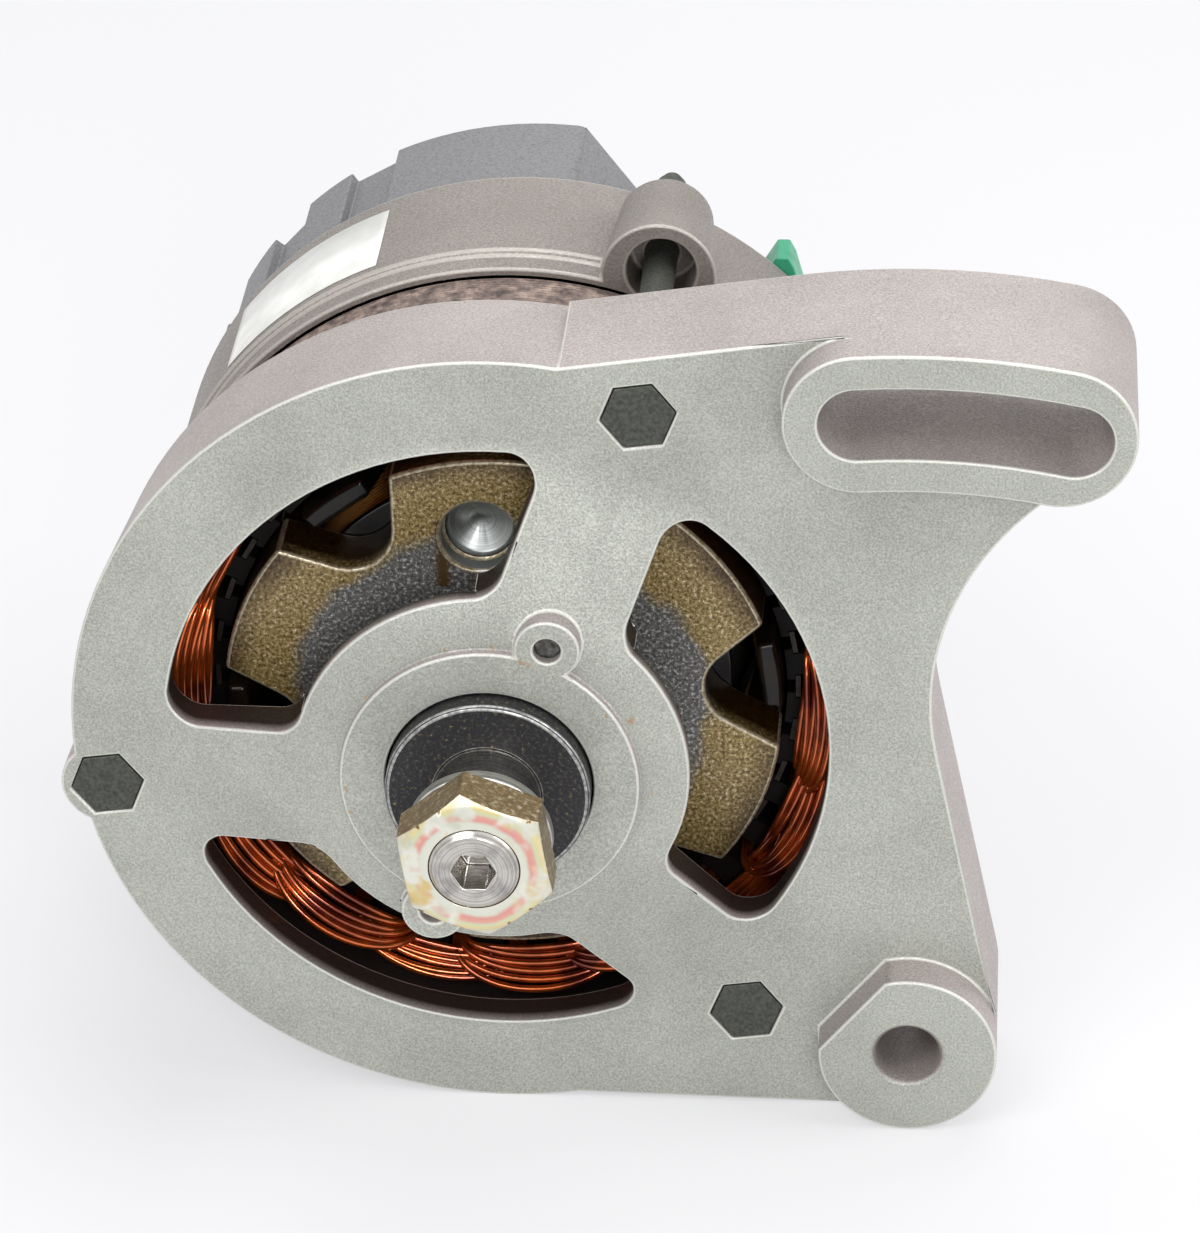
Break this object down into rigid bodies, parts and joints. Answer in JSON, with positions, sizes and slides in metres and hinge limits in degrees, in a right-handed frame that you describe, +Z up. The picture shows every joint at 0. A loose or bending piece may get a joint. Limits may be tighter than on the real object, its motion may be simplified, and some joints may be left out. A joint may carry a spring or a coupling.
{
  "type": "vehicle alternator",
  "caption": "Alternator with open cast drive end, slotted adjusting ear, pivot lug, claw pole rotor on ball bearings, bare shaft nose and plastic rear cover.",
  "frame": {"origin": "centre of the pulley seat, the front face of the spacer disc, on the shaft axis", "axes": "+Y along the shaft towards the rear cover, +Z up as the alternator lies on its rim and lug, +X towards the pivot lug and the slotted ear"},
  "size_m": [0.1706, 0.1473, 0.1406],
  "materials": {
    "cast_front": "shot-blasted casting",
    "cast_rear": "shot-blasted casting",
    "laminations": "rusty laminated edge",
    "enamelled_copper": "glossy enamel",
    "wedge": "fibre",
    "bearing_steel": "ground",
    "ball_steel": "polished",
    "pressed_steel": "pressed",
    "black_plastic": "moulded",
    "zinc_screw": "zinc plated",
    "phosphated_steel": "phosphated",
    "turned_steel": "turned",
    "varnished_pole": "impregnating varnish",
    "slip_copper": "turned",
    "black_oxide": "black oxide, worn",
    "washer_steel": "bright",
    "yellow_zinc": "yellow passivated zinc",
    "sink_aluminium": "stamped",
    "plated_copper": "nickel plated",
    "green_plastic": "moulded",
    "terminal_brass": "tinned",
    "brush_carbon": "pressed carbon",
    "spring_steel": "drawn wire",
    "regulator_aluminium": "die cast",
    "cover_plastic": "moulded"
  },
  "bodies": {
    "housing": {"drive_end_bracket": "cast_front", "rear_bracket": "cast_rear", "stator_core": "laminations", "stator_winding": "enamelled_copper", "slot_wedges": "wedge", "front_bearing_outer_ring": "bearing_steel", "rear_bearing_outer_ring": "bearing_steel", "bearing_sleeve": "black_plastic", "bearing_retainer_plate": "pressed_steel", "retainer_screws": "zinc_screw", "through_bolts": "phosphated_steel", "positive_heat_sink": "sink_aluminium", "negative_heat_sink": "sink_aluminium", "rectifier_diodes": "plated_copper", "rectifier_insulators": "black_plastic", "rectifier_screws": "zinc_screw", "output_stud": "zinc_screw", "output_nut": "zinc_screw", "stud_insulator": "green_plastic", "terminal_block": "black_plastic", "excitation_terminal": "terminal_brass", "brush_holder": "black_plastic", "front_brush_spring": "spring_steel", "rear_brush_spring": "spring_steel", "voltage_regulator": "regulator_aluminium", "regulator_screws": "zinc_screw", "rear_cover": "cover_plastic", "cover_studs": "zinc_screw", "cover_nuts": "zinc_screw"},
    "rotor": {"rotor_shaft": "turned_steel", "front_claw_pole": "varnished_pole", "rear_claw_pole": "varnished_pole", "field_core": "varnished_pole", "coil_bobbin": "black_plastic", "field_coil": "enamelled_copper", "slip_ring_carrier": "black_plastic", "front_slip_ring": "slip_copper", "rear_slip_ring": "slip_copper", "front_bearing_inner_ring": "bearing_steel", "rear_bearing_inner_ring": "bearing_steel", "pulley_spacer": "black_oxide", "spring_washer": "washer_steel", "shaft_nut": "yellow_zinc"},
    "front_cage": {"front_bearing_balls": "ball_steel", "front_bearing_cage": "pressed_steel"},
    "rear_cage": {"rear_bearing_balls": "ball_steel", "rear_bearing_cage": "pressed_steel"},
    "front_brush_body": {"front_brush": "brush_carbon"},
    "rear_brush_body": {"rear_brush": "brush_carbon"}
  },
  "joints": [
    {"name": "rotor_spin", "type": "hinge", "parent": "housing", "child": "rotor", "pos_m": [0, 0, 0], "axis": [0, 1, 0], "continuous": true},
    {"name": "front_cage_spin", "type": "hinge", "parent": "housing", "child": "front_cage", "pos_m": [0, 0.0134, 0], "axis": [0, 1, 0], "continuous": true},
    {"name": "rear_cage_spin", "type": "hinge", "parent": "housing", "child": "rear_cage", "pos_m": [0, 0.0868, 0], "axis": [0, 1, 0], "continuous": true},
    {"name": "front_brush_slide", "type": "slide", "parent": "housing", "child": "front_brush_body", "axis": [0, 0, -1], "range_m": [0, 0.005], "stiffness_N_per_m": 500, "springref_m": -0.01, "deforming": ["front_brush_spring"]},
    {"name": "rear_brush_slide", "type": "slide", "parent": "housing", "child": "rear_brush_body", "axis": [0, 0, -1], "range_m": [0, 0.005], "stiffness_N_per_m": 500, "springref_m": -0.01, "deforming": ["rear_brush_spring"]}
  ],
  "couplings": [
    {"joint": "front_cage_spin", "follows": "rotor_spin", "ratio": 0.3818},
    {"joint": "rear_cage_spin", "follows": "rotor_spin", "ratio": 0.3645}
  ]
}
